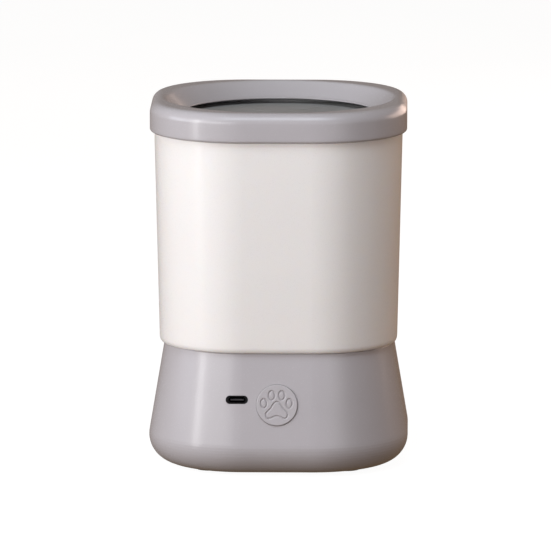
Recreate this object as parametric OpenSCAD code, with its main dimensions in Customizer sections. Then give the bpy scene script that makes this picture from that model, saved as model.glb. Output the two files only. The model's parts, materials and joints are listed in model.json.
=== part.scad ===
// Automatic paw washer cup: a motor base, a lift-off water cup with a
// turning silicone brush drum, and a push-on splash ring.
// Millimetres. Origin on the floor under the middle of the base, +Z up,
// the button and charging port face -Y.

/* [Outline] */
// Distance from the centre line to each rounded corner's centre
corner_c = 17.5; // [14:0.5:20]
// Half the width of the base at its widest
base_half = 65.2; // [65:0.1:65.6]
// Radius of the base's bottom edge
base_edge_r = 13.5; // [12:0.5:14]
// Draft angle of the base's sides
draft = 9.6; // [9.4:0.1:9.8]
// Height of the seam between base and cup
seam_z = 62.7; // [62.5:0.1:63]
// Half the width of the cup above its bottom edge
cup_half_low = 59.8; // [59.7:0.1:60]
// Half the width of the cup under the ring
cup_half_high = 62.4; // [62.2:0.1:62.4]
// Half the width of the splash ring at its widest
ring_half = 64.5; // [64.4:0.1:65]
// Overall height, to the ring's crest
top_z = 184; // [183.5:0.5:185]
// Radius of the round opening in the ring
mouth_r = 48.5; // [48:0.5:49]

/* [Front panel] */
// Height of the button's centre on the sloping front
button_z = 37.3; // [35:0.1:39]
// Button radius
button_r = 10.3; // [10:0.1:10.5]
// How far the button stands proud
button_proud = 0.8; // [0.6:0.1:1]
// How far the charging port lies to the left of the button
port_x = -20; // [-23:0.5:-20]
// How far the charging port lies above the button's centre
port_up = 2.6; // [0:0.1:3]

/* [Brush drum] */
// Outer radius of the brush basket
drum_r = 52.5; // [52:0.5:53]
// Length of the silicone bristles
bristle_len = 14; // [8:1:16]
// Bristles in each row
bristles_round = 20; // [12:1:24]
// Rows of bristles
bristle_rows = 6; // [3:1:6]

/* [Drive] */
// Tooth module of the gears
tooth_module = 1; // [1:1:1]
// Teeth on the motor pinion and on the small idler wheel
small_teeth = 12; // [12:1:12]
// Teeth on the large idler wheel
idler_teeth = 36; // [36:1:36]
// Teeth on the output wheel
output_teeth = 40; // [40:1:40]

/* [Hidden] */
$fn = 64;
eps = 0.01;
skin = 0.05;        // gap between faces that must not share material

// colours
soft_grey = [0.66, 0.65, 0.67];
warm_white = [0.93, 0.92, 0.90];
silicone_grey = [0.72, 0.73, 0.71];

// base
wall = 2.4;
floor_gap = 1.5;    // the shell stands this far above the floor, on its feet
cover_t = 2.5;
cover_half = 50.5;
cover_top_z = floor_gap + cover_t;
edge_c = base_half - base_edge_r;
edge_z = floor_gap + base_edge_r;
seam_edge_r = 0.7;
plateau_half = 54.4;
plateau_z = 71;
well_r = 15;
well_floor_z = 61.2;
post_xy = 34;
post_r = 4;
post_low_z = 6.6;   // the posts stand on the bottom cover's bosses
pilot_r = 1.45;
screw_r = 1.4;
screw_head_r = 2.8;
foot_r = 8;

// cup
cup_bottom_z = seam_z + 0.1;
cup_edge_h = 3.2;
cup_edge_in = 1.4;
cup_top_z = 176;
cup_floor_z = 74;
cup_floor_t = 2.5;
cup_wall = 2.3;
skirt_half = 55;
boss_r = 9;
boss_top_z = 90;

// ring
ring_bottom_z = 169.3;
ring_bottom_r = 1.3;
ring_ceiling_z = 177.6;
ring_inner_half = 62.75;
crest_r = 5.3;
funnel_top_r = ring_half - crest_r;
funnel_edge_r = 2.5;
funnel_slope = 33;
lip_top_z = 176.6;
lip_t = 0.9;

// splash guard
guard_z = 172;      // underside of the guard
guard_t = 1.2;
guard_half = 57.3;
guard_rim_top_z = 176.5;
petals = 6;
petal_corner_r = 48;
petal_tilt = 2.8;   // the petals rise a little towards the middle
slit = 0.4;
hinge_gap = 0.6;
slit_notch = 1.2;   // relief at the outer end of each slit
petal_tip_x = 2.2;

// drum
drum_wall = 2;
liner_t = 1.5;
drum_floor_z = 79;
drum_floor_t = 2.2;
liner_top_z = 168.8;
liner_lip_t = 1.4;
dome_r = 13.2;
dome_top_z = 95;
dome_hollow_z = 92;
hex_z = 91.9;       // the spindle is round below here and hexagonal above
hex_top_z = 98.2;
spindle_r = 3;
spindle_low_z = 71.2;
running_gap = 0.04; // radial clearance of a shaft in its bearing

// gear train
plate_z = 43;
plate_t = 3;
level1_z = 46.8;    // pinion and large idler wheel
level2_z = 52.4;    // small idler wheel and output wheel
gear_t = 5;
gearbox_top_z = 60.2;
gearbox_roof_t = 2.2;
idler_distance = tooth_module * (output_teeth + small_teeth) / 2;
motor_distance = tooth_module * (idler_teeth + small_teeth) / 2;
idler_angle = 20;
motor_angle = -100;
idler_xy = idler_distance * [cos(idler_angle), sin(idler_angle)];
motor_xy = idler_xy + motor_distance * [cos(motor_angle), sin(motor_angle)];
ears = [[-20, 18], [-20, -18], [48.5, idler_xy[1]], [motor_xy[0] + 7.7, motor_xy[1] - 13.3]];
ear_r = 4.2;
motor_r = 12.2;
motor_low_z = 12.5;

// battery
cell_r = 9.15;
cell_len = 65;
cell_y = 18;
cell_z = 15;

// front panel: x across, y up the slope, z outward, at the button's centre
panel_half = side_half(button_z);
board_front = -10.4;
board_t = 1.6;

function arc(cx, cz, r, from, to, steps) =
    [for (i = [0:steps]) let (a = from + (to - from) * i / steps) [cx + r * cos(a), cz + r * sin(a)]];

// Half the base's outer width at height z, on its straight sloping side
function side_half(z) =
    edge_c + base_edge_r * cos(draft) - tan(draft) * (z - edge_z - base_edge_r * sin(draft));

module squircle(half) {
    square([2 * half, 2 * corner_c], center = true);
    square([2 * corner_c, 2 * half], center = true);
    for (x = [-1, 1], y = [-1, 1])
        translate([x * corner_c, y * corner_c]) circle(half - corner_c);
}

// Solid with a squircle plan whose half width follows edge, a list of [half width, z] from bottom to top
module squircle_loft(edge) {
    low = edge[0][1];
    high = edge[len(edge) - 1][1];
    mirrored = [for (i = [len(edge) - 1:-1:0]) [-edge[i][0], edge[i][1]]];
    for (turn = [0, 90])
        rotate([90, 0, turn])
            translate([0, 0, -corner_c])
                linear_extrude(2 * corner_c) polygon(concat(edge, mirrored));
    for (q = [0:3])
        rotate([0, 0, 90 * q])
            translate([corner_c, corner_c, 0])
                rotate_extrude(angle = 90)
                    polygon(concat([[0, low]], [for (p = edge) [p[0] - corner_c, p[1]]], [[0, high]]));
}

module at_four(xy) {
    for (x = [-1, 1], y = [-1, 1]) translate([x * xy, y * xy, 0]) children();
}

module tube(r_out, r_in, z0, z1) {
    translate([0, 0, z0])
        difference() {
            cylinder(r = r_out, h = z1 - z0);
            translate([0, 0, -1]) cylinder(r = r_in, h = z1 - z0 + 2);
        }
}

module on_panel() {
    translate([0, -panel_half, button_z]) rotate([90 - draft, 0, 0]) children();
}

// ---------------------------------------------------------------- base
base_outer = concat(
    arc(edge_c, edge_z, base_edge_r, -90, draft, 16),
    arc(side_half(seam_z - seam_edge_r) - seam_edge_r / cos(draft), seam_z - seam_edge_r,
        seam_edge_r, draft, 90, 4));
inner_r = base_edge_r - wall;
inner_from = -asin((edge_z - cover_top_z) / inner_r);
deck_under_z = seam_z - wall;
base_inner = concat(
    arc(edge_c, edge_z, inner_r, inner_from, draft, 8),
    [[side_half(deck_under_z) - wall / cos(draft), deck_under_z]]);

module base_shell() {
    color(soft_grey)
    difference() {
        union() {
            difference() {
                squircle_loft(base_outer);
                squircle_loft(base_inner);
                translate([0, 0, floor_gap - 1])
                    linear_extrude(cover_t + 1 + eps) squircle(cover_half + 0.3);
            }
            plateau();
            at_four(post_xy)
                translate([0, 0, post_low_z]) cylinder(r = post_r, h = seam_z - post_low_z);
            for (e = ears)
                translate([e[0], e[1], gearbox_top_z + skin])
                    cylinder(r = post_r, h = plateau_z - wall - gearbox_top_z);
            on_panel() board_bosses();
        }
        // hollow of the plateau, opened from below through the deck
        plateau_hollow();
        at_four(post_xy)
            translate([0, 0, post_low_z - 1]) cylinder(r = pilot_r, h = 14);
        for (e = ears)
            translate([e[0], e[1], gearbox_top_z - 1]) cylinder(r = pilot_r, h = 7);
        // well for the drive dog, and the seal's seat in its floor
        translate([0, 0, well_floor_z + wall]) cylinder(r = well_r, h = 20);
        translate([0, 0, well_floor_z - 1]) cylinder(r = 6, h = 5);
        on_panel() panel_holes();
    }
}

module plateau() {
    translate([0, 0, deck_under_z])
        linear_extrude(plateau_z - deck_under_z) squircle(plateau_half);
}

module plateau_hollow() {
    difference() {
        translate([0, 0, deck_under_z - 1])
            linear_extrude(plateau_z - wall - deck_under_z + 1) squircle(plateau_half - wall);
        translate([0, 0, well_floor_z]) cylinder(r = well_r + 2, h = 20);
        at_four(post_xy)
            translate([0, 0, 50]) cylinder(r = post_r, h = 30);
        for (e = ears)
            translate([e[0], e[1], 50]) cylinder(r = post_r, h = 30);
    }
}

boss_points = [[-28, -10, 3], [19, 10, 2]];  // across, up, and how far each stops short of the panel's face
module board_bosses() {
    for (b = boss_points)
        translate([b[0], b[1], board_front + skin])
            cylinder(r = 3, h = -board_front - skin - b[2]);
}

module stadium(w, h) {
    square([w - h, h], center = true);
    for (x = [-1, 1]) translate([x * (w - h) / 2, 0]) circle(h / 2);
}

port_w = 11.2;
port_h = 4.2;
module panel_holes() {
    translate([0, 0, -8]) cylinder(r = button_r + 0.15, h = 12);
    translate([port_x, port_up, -8]) linear_extrude(12) stadium(port_w, port_h);
    for (b = boss_points)
        translate([b[0], b[1], board_front - 1]) cylinder(r = 1.05, h = 6);
}

module bottom_cover() {
    color(soft_grey * 0.8)
    difference() {
        union() {
            translate([0, 0, floor_gap]) linear_extrude(cover_t) squircle(cover_half);
            at_four(post_xy)
                translate([0, 0, floor_gap]) cylinder(r = 9.5, h = 5);
        }
        at_four(post_xy) {
            translate([0, 0, floor_gap - 1]) cylinder(r = foot_r + 0.1, h = 1.7);
            translate([0, 0, floor_gap - 1]) cylinder(r = screw_head_r + 0.4, h = 3.5);
            cylinder(r = screw_r + 0.3, h = 10);
        }
    }
}

module rubber_feet() {
    color([0.16, 0.16, 0.17])
    at_four(post_xy) {
        cylinder(r1 = foot_r - 0.6, r2 = foot_r, h = 0.6);
        translate([0, 0, 0.6]) cylinder(r = foot_r, h = 1.55);
    }
}

module screw(head_r, head_h, r, length) {
    difference() {
        translate([0, 0, -head_h]) cylinder(r = head_r, h = head_h);
        translate([0, 0, -head_h - 1]) {
            for (turn = [0, 90])
                rotate([0, 0, turn]) translate([-1.3, -0.3, 0]) cube([2.6, 0.6, 1.7]);
        }
    }
    translate([0, 0, -eps]) cylinder(r = r, h = length);
}

module cover_screws() {
    color("silver")
    at_four(post_xy) translate([0, 0, 4]) screw(screw_head_r, 1.5, screw_r, 13);
}

// ---------------------------------------------------------------- battery
module battery_cell() {
    color([0.20, 0.45, 0.75])
    translate([-cell_len / 2, cell_y, cell_z])
        rotate([0, 90, 0]) {
            cylinder(r = cell_r, h = cell_len - 1);
            translate([0, 0, cell_len - 1 - eps]) cylinder(r = 3, h = 1 + eps);
        }
}

module battery_cradle() {
    color([0.25, 0.25, 0.27])
    difference() {
        for (x = [-20, 0, 20])
            translate([x - 3, cell_y - 12, cover_top_z + skin])
                cube([6, 24, cell_z - cover_top_z - 1]);
        translate([-50, cell_y, cell_z])
            rotate([0, 90, 0]) cylinder(r = cell_r + 0.1, h = 100);
    }
}

module battery_tabs() {
    color("silver")
    for (side = [-1, 1])
        translate([side * (cell_len / 2 + 0.2), cell_y, cell_z])
            cube([0.3, 8, 8], center = true);
}

// ---------------------------------------------------------------- wiring
wire_r = 0.8;
wire_sides = 8;
function unit(v) = v / norm(v);
function wire_dir(p, i) = unit(p[min(i + 1, len(p) - 1)] - p[max(i - 1, 0)]);
function wire_ring(p, i) =
    let (
        along = wire_dir(p, i),
        side = unit(cross(along, abs(along[2]) > 0.9 ? [1, 0, 0] : [0, 0, 1])),
        up = cross(side, along))
    [for (k = [0:wire_sides - 1])
        let (a = 360 * k / wire_sides) p[i] + wire_r * (cos(a) * side + sin(a) * up)];
// Points of a smooth curve through p, by Catmull-Rom
function smooth(p, n) = [
    for (i = [0:len(p) - 2], k = [0:n - 1])
        let (
            t = k / n,
            a = p[max(i - 1, 0)],
            b = p[i],
            c = p[i + 1],
            d = p[min(i + 2, len(p) - 1)])
        0.5 * (2 * b + (c - a) * t + (2 * a - 5 * b + 4 * c - d) * t * t
            + (3 * b - a - 3 * c + d) * t * t * t),
    p[len(p) - 1]];
module wire(route) {
    p = smooth(route, 4);
    n = len(p);
    m = wire_sides;
    polyhedron(
        [for (i = [0:n - 1]) each wire_ring(p, i)],
        concat(
            [[for (k = [m - 1:-1:0]) k]],
            [for (i = [0:n - 2], k = [0:m - 1]) each let (j = (k + 1) % m)
                [[i * m + k, i * m + j, (i + 1) * m + j], [i * m + k, (i + 1) * m + j, (i + 1) * m + k]]],
            [[for (k = [0:m - 1]) (n - 1) * m + k]]));
}

lead_x = 14;        // the wires meet the board's socket here
battery_lead_y = -49;
battery_lead_z = 24.3;
motor_lead_y = -49.5;
motor_lead_z = 21.1;
tab_x = cell_len / 2 + 1.9;
module battery_leads() {
    color("red")
    wire([[tab_x, cell_y, 19.5], [36.5, 10, 22], [38, -6, 22], [34, -22, 22], [27, -31, 22], [20, -40, 23.5],
        [lead_x + 3, battery_lead_y + 4, battery_lead_z], [lead_x + 3, battery_lead_y, battery_lead_z]]);
    color("black")
    wire([[-tab_x, cell_y, 19.5], [-36, 8, 18], [-30, -8, 12], [-12, -26, 11], [0, -38, 16],
        [lead_x - 3, battery_lead_y + 6, battery_lead_z], [lead_x - 3, battery_lead_y, battery_lead_z]]);
}

module motor_leads() {
    for (side = [-1, 1])
        color(side > 0 ? "yellow" : "blue")
        wire([[motor_xy[0] + 6 * side, motor_xy[1], 7.7],
            [motor_xy[0] + 7 * side, motor_xy[1] - 5, 6.9],
            [motor_xy[0] - 3 + 5 * side, motor_xy[1] - 16, 10],
            [lead_x + 1.5 * side, motor_lead_y + 7, motor_lead_z - 1],
            [lead_x + side, motor_lead_y, motor_lead_z]]);
}

// ---------------------------------------------------------------- electronics
module main_board() {
    color([0.05, 0.35, 0.18])
    on_panel()
        difference() {
            translate([-34, -15, board_front - board_t]) cube([58, 30, board_t]);
            for (b = boss_points)
                translate([b[0], b[1], board_front - 3]) cylinder(r = 1.3, h = 5);
        }
}

module board_chips() {
    back = board_front - board_t;
    color([0.1, 0.1, 0.1])
    on_panel() {
        translate([-12, 2, back - 1.2]) cube([6, 6, 1.2]);
        translate([-24, 1, back - 1.5]) cube([5, 4, 1.5]);
        translate([-22, -10, back - 3]) cube([6, 6, 3]);
        translate([-10, -8, back - 0.9]) cube([3, 2, 0.9]);
        translate([-4, -9, back - 0.9]) cube([3, 2, 0.9]);
        translate([2, 5, back - 4]) cylinder(r = 2.5, h = 4);
    }
}

module board_screws() {
    color("silver")
    on_panel()
        for (b = boss_points)
            translate([b[0], b[1], board_front - board_t]) screw(2, 1.2, 1, 5.4);
}

module usb_bezel() {
    color([0.03, 0.03, 0.03])
    on_panel()
        translate([port_x, port_up, 0])
            difference() {
                translate([0, 0, -2.2]) linear_extrude(1.95) stadium(port_w - 0.06, port_h - 0.06);
                translate([0, 0, -3]) linear_extrude(5) stadium(8.7, 3);
            }
}

module usb_shell() {
    color("silver")
    on_panel()
        translate([port_x, port_up, board_front])
            difference() {
                linear_extrude(-board_front - 2.25) stadium(8.94, 3.24);
                translate([0, 0, 1]) linear_extrude(9) stadium(8.34, 2.64);
            }
}

module usb_tongue() {
    color([0.06, 0.06, 0.06])
    on_panel()
        translate([port_x - 3.35, port_up - 0.35, board_front + 1]) cube([6.7, 0.7, 6.4]);
}

switch_face = board_front + 3.5;
module tact_switch() {
    color([0.12, 0.12, 0.13])
    on_panel()
        difference() {
            translate([-3, -3, board_front]) cube([6, 6, 3.5]);
            translate([0, 0, board_front + 1]) cylinder(r = 1.75, h = 5);
        }
}

module charge_led() {
    color([0.9, 0.95, 1])
    on_panel() translate([6.2, -1, board_front]) cube([1.6, 1.6, 0.8]);
}

module lead_socket() {
    color("white")
    on_panel()
        translate([lead_x - 5.5, -16, board_front - board_t - 2.3]) cube([11, 7, 2.3]);
}

// ---------------------------------------------------------------- motor
module at_motor() {
    translate([motor_xy[0], motor_xy[1], 0]) children();
}

module motor_can() {
    color("silver")
    at_motor()
        difference() {
            union() {
                translate([0, 0, motor_low_z]) cylinder(r = motor_r, h = plate_z - motor_low_z);
                translate([0, 0, plate_z - eps]) cylinder(r = 3, h = 1.5);
            }
            translate([0, 0, motor_low_z - 1]) cylinder(r = motor_r - 0.8, h = plate_z - motor_low_z);
            cylinder(r = 1 + running_gap, h = 60);
            for (x = [-1, 1]) translate([8 * x, 0, plate_z - 2]) cylinder(r = 1, h = 3);
        }
}

module motor_end_cap() {
    color([0.9, 0.9, 0.88])
    at_motor() {
        difference() {
            translate([0, 0, 9.5]) cylinder(r = motor_r - 0.9, h = 3.4);
            translate([0, 0, 9]) cylinder(r = 1 + running_gap, h = 6);
        }
        for (x = [-1, 1]) translate([6 * x - 1, -0.25, 8.6]) cube([2, 0.5, 1]);
    }
}

module motor_magnets() {
    color([0.15, 0.15, 0.15])
    at_motor()
        difference() {
            tube(motor_r - 0.85, 9.4, 16, 38);
            translate([-2, -20, 10]) cube([4, 40, 40]);
        }
}

module motor_rotor() {
    color([0.7, 0.4, 0.2])
    at_motor() {
        translate([0, 0, 10]) cylinder(r = 1, h = 42.1);
        translate([0, 0, 17]) cylinder(r = 9, h = 20);
        translate([0, 0, 13.4]) cylinder(r = 3.5, h = 3.6 + eps);
    }
}

// ---------------------------------------------------------------- gears
pressure_angle = 20;
flank_steps = 4;
thin = 0.06;        // taken off each tooth's thickness for backlash
function involute(base_r, r) = let (t = sqrt(max(0, r * r / (base_r * base_r) - 1))) t * 180 / PI - atan(t);
function gear_outline(teeth) =
    let (
        pitch_r = tooth_module * teeth / 2,
        base_r = pitch_r * cos(pressure_angle),
        tip_r = pitch_r + 0.95 * tooth_module,
        root_r = pitch_r - 1.2 * tooth_module,
        start_r = max(base_r, root_r),
        half_angle = (90 - thin * 180 / PI / tooth_module) / teeth + involute(base_r, pitch_r))
    [for (k = [0:teeth - 1])
        let (mid = 360 * k / teeth)
        each concat(
            [root_r * [cos(mid - half_angle), sin(mid - half_angle)]],
            [for (i = [0:flank_steps])
                let (r = start_r + (tip_r - start_r) * i / flank_steps)
                let (a = mid - half_angle + involute(base_r, r))
                r * [cos(a), sin(a)]],
            [for (i = [flank_steps:-1:0])
                let (r = start_r + (tip_r - start_r) * i / flank_steps)
                let (a = mid + half_angle - involute(base_r, r))
                r * [cos(a), sin(a)]],
            [root_r * [cos(mid + half_angle), sin(mid + half_angle)]])];

// A wheel whose first tooth points along angle, or whose first gap does
module gear(teeth, angle, gap_there = false) {
    rotate([0, 0, angle + (gap_there ? 180 / teeth : 0)])
        linear_extrude(gear_t) polygon(gear_outline(teeth));
}

module motor_pinion() {
    color("gold")
    at_motor()
        translate([0, 0, level1_z])
            difference() {
                gear(small_teeth, motor_angle + 180);
                translate([0, 0, -1]) cylinder(r = 1, h = 10);
            }
}

module idler_gear() {
    color([0.93, 0.93, 0.9])
    translate([idler_xy[0], idler_xy[1], 0])
        difference() {
            union() {
                translate([0, 0, level1_z]) gear(idler_teeth, motor_angle, true);
                translate([0, 0, level2_z]) gear(small_teeth, idler_angle + 180, true);
                translate([0, 0, level1_z + gear_t - eps])
                    cylinder(r = 4.6, h = level2_z - level1_z - gear_t + 2 * eps);
            }
            translate([0, 0, level1_z - 1]) cylinder(r = 1.5 + running_gap, h = 15);
        }
}

module idler_pin() {
    color("silver")
    translate([idler_xy[0], idler_xy[1], plate_z]) cylinder(r = 1.5, h = gearbox_top_z - plate_z - 1);
}

module output_gear() {
    color([0.93, 0.93, 0.9])
    difference() {
        union() {
            translate([0, 0, level2_z]) gear(output_teeth, idler_angle);
            translate([0, 0, level1_z]) cylinder(r = 5, h = level2_z - level1_z + eps);
        }
        translate([0, 0, level1_z - 1]) cylinder(r = spindle_r, h = 15);
        for (a = [30:60:330])
            rotate([0, 0, a]) translate([12, 0, level2_z - 1]) cylinder(r = 3, h = 10);
    }
}

module output_shaft() {
    color("silver")
    translate([0, 0, plate_z + 0.2]) cylinder(r = spindle_r, h = 66.5 - plate_z - 0.2);
}

module gearbox_outline(extra) {
    circle(22 + extra);
    translate(idler_xy) circle(20 + extra);
    translate(motor_xy) circle(9.6 + extra);
}

module ear_circles() {
    for (e = ears) translate(e) circle(ear_r);
}

module gearbox_plate() {
    color([0.3, 0.3, 0.32])
    difference() {
        translate([0, 0, plate_z])
            linear_extrude(plate_t) {
                gearbox_outline(2);
                ear_circles();
                translate(motor_xy) circle(13);
            }
        translate([0, 0, plate_z - 1]) cylinder(r = 5, h = 10);
        translate([idler_xy[0], idler_xy[1], plate_z - 1]) cylinder(r = 1.5, h = 10);
        at_motor() {
            translate([0, 0, plate_z - 1]) cylinder(r = 3.1, h = 10);
            for (x = [-1, 1]) translate([8 * x, 0, plate_z - 1]) cylinder(r = 1.2, h = 10);
        }
        for (e = ears) translate([e[0], e[1], plate_z - 1]) cylinder(r = 1.6, h = 10);
    }
}

module gearbox_cover() {
    color([0.3, 0.3, 0.32])
    difference() {
        translate([0, 0, plate_z + plate_t])
            linear_extrude(gearbox_top_z - plate_z - plate_t) {
                gearbox_outline(2);
                ear_circles();
            }
        translate([0, 0, plate_z + plate_t - 1])
            linear_extrude(gearbox_top_z - gearbox_roof_t - plate_z - plate_t + 1) gearbox_outline(0);
        translate([0, 0, 50]) cylinder(r = 6, h = 20);
        translate([idler_xy[0], idler_xy[1], 50]) cylinder(r = 1.5, h = gearbox_top_z - 51);
        for (e = ears) translate([e[0], e[1], plate_z]) cylinder(r = 1.6, h = 30);
    }
}

module gearbox_screws() {
    color("silver")
    for (e = ears) translate([e[0], e[1], plate_z]) screw(screw_head_r, 1.6, screw_r, 22.5);
}

module motor_screws() {
    color("silver")
    at_motor()
        for (x = [-1, 1])
            translate([8 * x, 0, plate_z + 2]) rotate([180, 0, 0])
                translate([0, 0, -1]) screw(1.15, 1, 0.95, 3.6);
}

module lower_bearing() {
    color("goldenrod") tube(5, spindle_r + running_gap, plate_z, plate_z + plate_t);
}

module upper_bearing() {
    color("goldenrod")
    tube(6, spindle_r + running_gap, gearbox_top_z - gearbox_roof_t, gearbox_top_z);
}

module base_shaft_seal() {
    color([0.15, 0.15, 0.15])
    tube(6, spindle_r + running_gap, well_floor_z, well_floor_z + wall);
}

// ---------------------------------------------------------------- dog clutch
dog_in = 6;
dog_out = 12;
lug_out = 11.5;
lug_angle = 50;
module lugs(z0, z1, first) {
    for (a = [first, first + 120, first + 240])
        rotate([0, 0, a - lug_angle / 2])
            rotate_extrude(angle = lug_angle)
                translate([dog_in, z0]) square([lug_out - dog_in, z1 - z0]);
}

module drive_dog() {
    color([0.2, 0.2, 0.2])
    difference() {
        union() {
            translate([0, 0, 64.2]) cylinder(r = dog_out, h = 2.6);
            lugs(66.7, 70.7, 0);
        }
        translate([0, 0, 60]) cylinder(r = spindle_r, h = 6.5);
    }
}

module driven_dog() {
    color([0.2, 0.2, 0.2])
    difference() {
        union() {
            translate([0, 0, spindle_low_z]) cylinder(r = dog_out, h = 2.2);
            lugs(67.2, 71.3, 60);
        }
        translate([0, 0, 65]) cylinder(r = spindle_r, h = 15);
    }
}

// ---------------------------------------------------------------- button
// Engraved outlines of a paw: four oval toes, and a main pad that is drawn
// as its right half, top to bottom, and mirrored
toe_spots = [[-6.5, 0.8, 6], [-2.6, 4.8, 2], [2.4, 4.8, -2], [6.2, 0.8, -6]];
toe_rx = 1.75;
toe_ry = 2.5;
pad_half = [[0, 2], [1.3, 1.4], [2.4, 0], [3.4, -1.6], [4.8, -2.9], [5.7, -4.3],
    [5.5, -6], [4.4, -7], [2.9, -6.8], [1.5, -6.1], [0, -5.8]];
groove_w = 0.5;
groove_depth = 0.35;
function oval(rx, ry, n) = [for (i = [0:n - 1]) let (a = 360 * i / n) [rx * cos(a), ry * sin(a)]];
function mirrored(half) = [for (i = [len(half) - 2:-1:1]) [-half[i][0], half[i][1]]];
function closed_curve(p, n) = [
    for (i = [0:len(p) - 1], k = [0:n - 1])
        let (
            m = len(p),
            t = k / n,
            a = p[(i + m - 1) % m],
            b = p[i],
            c = p[(i + 1) % m],
            d = p[(i + 2) % m])
        0.5 * (2 * b + (c - a) * t + (2 * a - 5 * b + 4 * c - d) * t * t
            + (3 * b - a - 3 * c + d) * t * t * t)];
// A clockwise outline moved inwards by w
function inset(p, w) = [
    for (i = [0:len(p) - 1])
        let (m = len(p), d = p[(i + 1) % m] - p[(i + m - 1) % m])
        p[i] + w / norm(d) * [d[1], -d[0]]];

module paw_grooves() {
    pad = closed_curve(concat(pad_half, mirrored(pad_half)), 4);
    for (t = toe_spots)
        translate([t[0], t[1]]) rotate(t[2])
            difference() {
                polygon(oval(toe_rx, toe_ry, 32));
                polygon(oval(toe_rx - groove_w, toe_ry - groove_w, 32));
            }
    difference() {
        polygon(pad);
        polygon(inset(pad, groove_w));
    }
}

module power_button() {
    color(soft_grey)
    on_panel()
        difference() {
            union() {
                translate([0, 0, -3.6]) cylinder(r = button_r, h = 3.2 + button_proud);
                translate([0, 0, button_proud - 0.4 - eps])
                    cylinder(r1 = button_r, r2 = button_r - 0.4, h = 0.4 + eps);
                translate([0, 0, -wall - 1.3]) cylinder(r = button_r + 1.6, h = 1.25);
                translate([0, 0, switch_face + 0.7]) cylinder(r = 2.2, h = 4);
            }
            translate([0, 0, button_proud - groove_depth]) linear_extrude(1) paw_grooves();
        }
}

module switch_plunger() {
    color("white")
    on_panel() translate([0, 0, board_front + 1.9]) cylinder(r = 1.7, h = 2.3);
}

// ---------------------------------------------------------------- cup
cup_outer = concat(
    [for (i = [0:5]) let (a = 90 * i / 5)
        [cup_half_low - cup_edge_in * (1 - sin(a)), cup_bottom_z + cup_edge_h * (1 - cos(a))]],
    [[cup_half_high, cup_top_z]]);
function cup_half(z) =
    cup_half_low + (cup_half_high - cup_half_low) * (z - cup_bottom_z - cup_edge_h)
        / (cup_top_z - cup_bottom_z - cup_edge_h);
cup_fillet = 5;
cup_inside_z = cup_floor_z + cup_floor_t;
cup_inner = concat(
    arc(cup_half(cup_inside_z + cup_fillet) - cup_wall - cup_fillet, cup_inside_z + cup_fillet,
        cup_fillet, -90, 0, 5),
    [[cup_half(cup_top_z) - cup_wall, cup_top_z + 1]]);

module cup_body() {
    color(warm_white)
    difference() {
        union() {
            difference() {
                squircle_loft(cup_outer);
                squircle_loft(cup_inner);
            }
            translate([0, 0, cup_floor_z]) cylinder(r = boss_r, h = boss_top_z - cup_floor_z);
        }
        translate([0, 0, cup_bottom_z - 1])
            linear_extrude(cup_floor_z - cup_bottom_z + 1) squircle(skirt_half);
        translate([0, 0, cup_floor_z - 1]) cylinder(r = 5.5, h = 40);
        translate([0, 0, boss_top_z - 4]) cylinder(r = 6.5, h = 5);
    }
}

module spindle_bush() {
    color("goldenrod") tube(5.5, spindle_r + running_gap, cup_floor_z, boss_top_z - 4);
}

module spindle_seal() {
    color([0.15, 0.15, 0.15]) tube(6.5, spindle_r + running_gap, boss_top_z - 4, boss_top_z);
}

module spindle() {
    color("silver") {
        translate([0, 0, spindle_low_z]) cylinder(r = spindle_r, h = hex_z - spindle_low_z);
        translate([0, 0, hex_z - eps]) cylinder(r = spindle_r, h = hex_top_z - hex_z, $fn = 6);
    }
}

// ---------------------------------------------------------------- brush drum
module brush_basket() {
    color([0.80, 0.80, 0.79])
    difference() {
        union() {
            tube(drum_r, drum_r - drum_wall, drum_floor_z, liner_top_z - liner_lip_t);
            translate([0, 0, drum_floor_z]) cylinder(r = drum_r - 1, h = drum_floor_t);
            translate([0, 0, drum_floor_z]) cylinder(r = dome_r, h = dome_top_z - drum_floor_z);
        }
        translate([0, 0, drum_floor_z - 1]) cylinder(r = dome_r - 2, h = dome_hollow_z - drum_floor_z + 1);
        translate([0, 0, 80]) cylinder(r = spindle_r, h = 30, $fn = 6);
        for (a = [0:45:315])
            rotate([0, 0, a]) translate([32, 0, drum_floor_z - 1]) cylinder(r = 3, h = 10);
    }
}

liner_in = drum_r - drum_wall - liner_t;
bristle_low_z = 92;
bristle_pitch = 11;
module brush_liner() {
    color(silicone_grey) {
        tube(drum_r - drum_wall, liner_in, drum_floor_z + drum_floor_t, liner_top_z);
        tube(drum_r, liner_in, liner_top_z - liner_lip_t, liner_top_z);
        for (row = [0:bristle_rows - 1], k = [0:bristles_round - 1])
            rotate([0, 0, 360 * (k + (row % 2) / 2) / bristles_round])
                translate([liner_in + 0.5, 0, bristle_low_z + row * bristle_pitch])
                    rotate([0, -90, 0]) cylinder(r1 = 1.9, r2 = 1.0, h = bristle_len, $fn = 24);
    }
}

module hub_cap() {
    color([0.66, 0.65, 0.67])
    difference() {
        translate([0, 0, dome_top_z]) cylinder(r1 = 8, r2 = 5, h = 5);
        translate([0, 0, dome_top_z - 1]) cylinder(r = spindle_r, h = 4.6, $fn = 6);
    }
}

// ---------------------------------------------------------------- splash ring
ring_outer = concat(
    arc(ring_half - ring_bottom_r, ring_bottom_z + ring_bottom_r, ring_bottom_r, -90, 0, 4),
    arc(ring_half - crest_r, top_z - crest_r, crest_r, 0, 90, 10));
skirt_out = 59;
skirt_in = 57.4;
skirt_bottom_z = 172.6;

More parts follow.
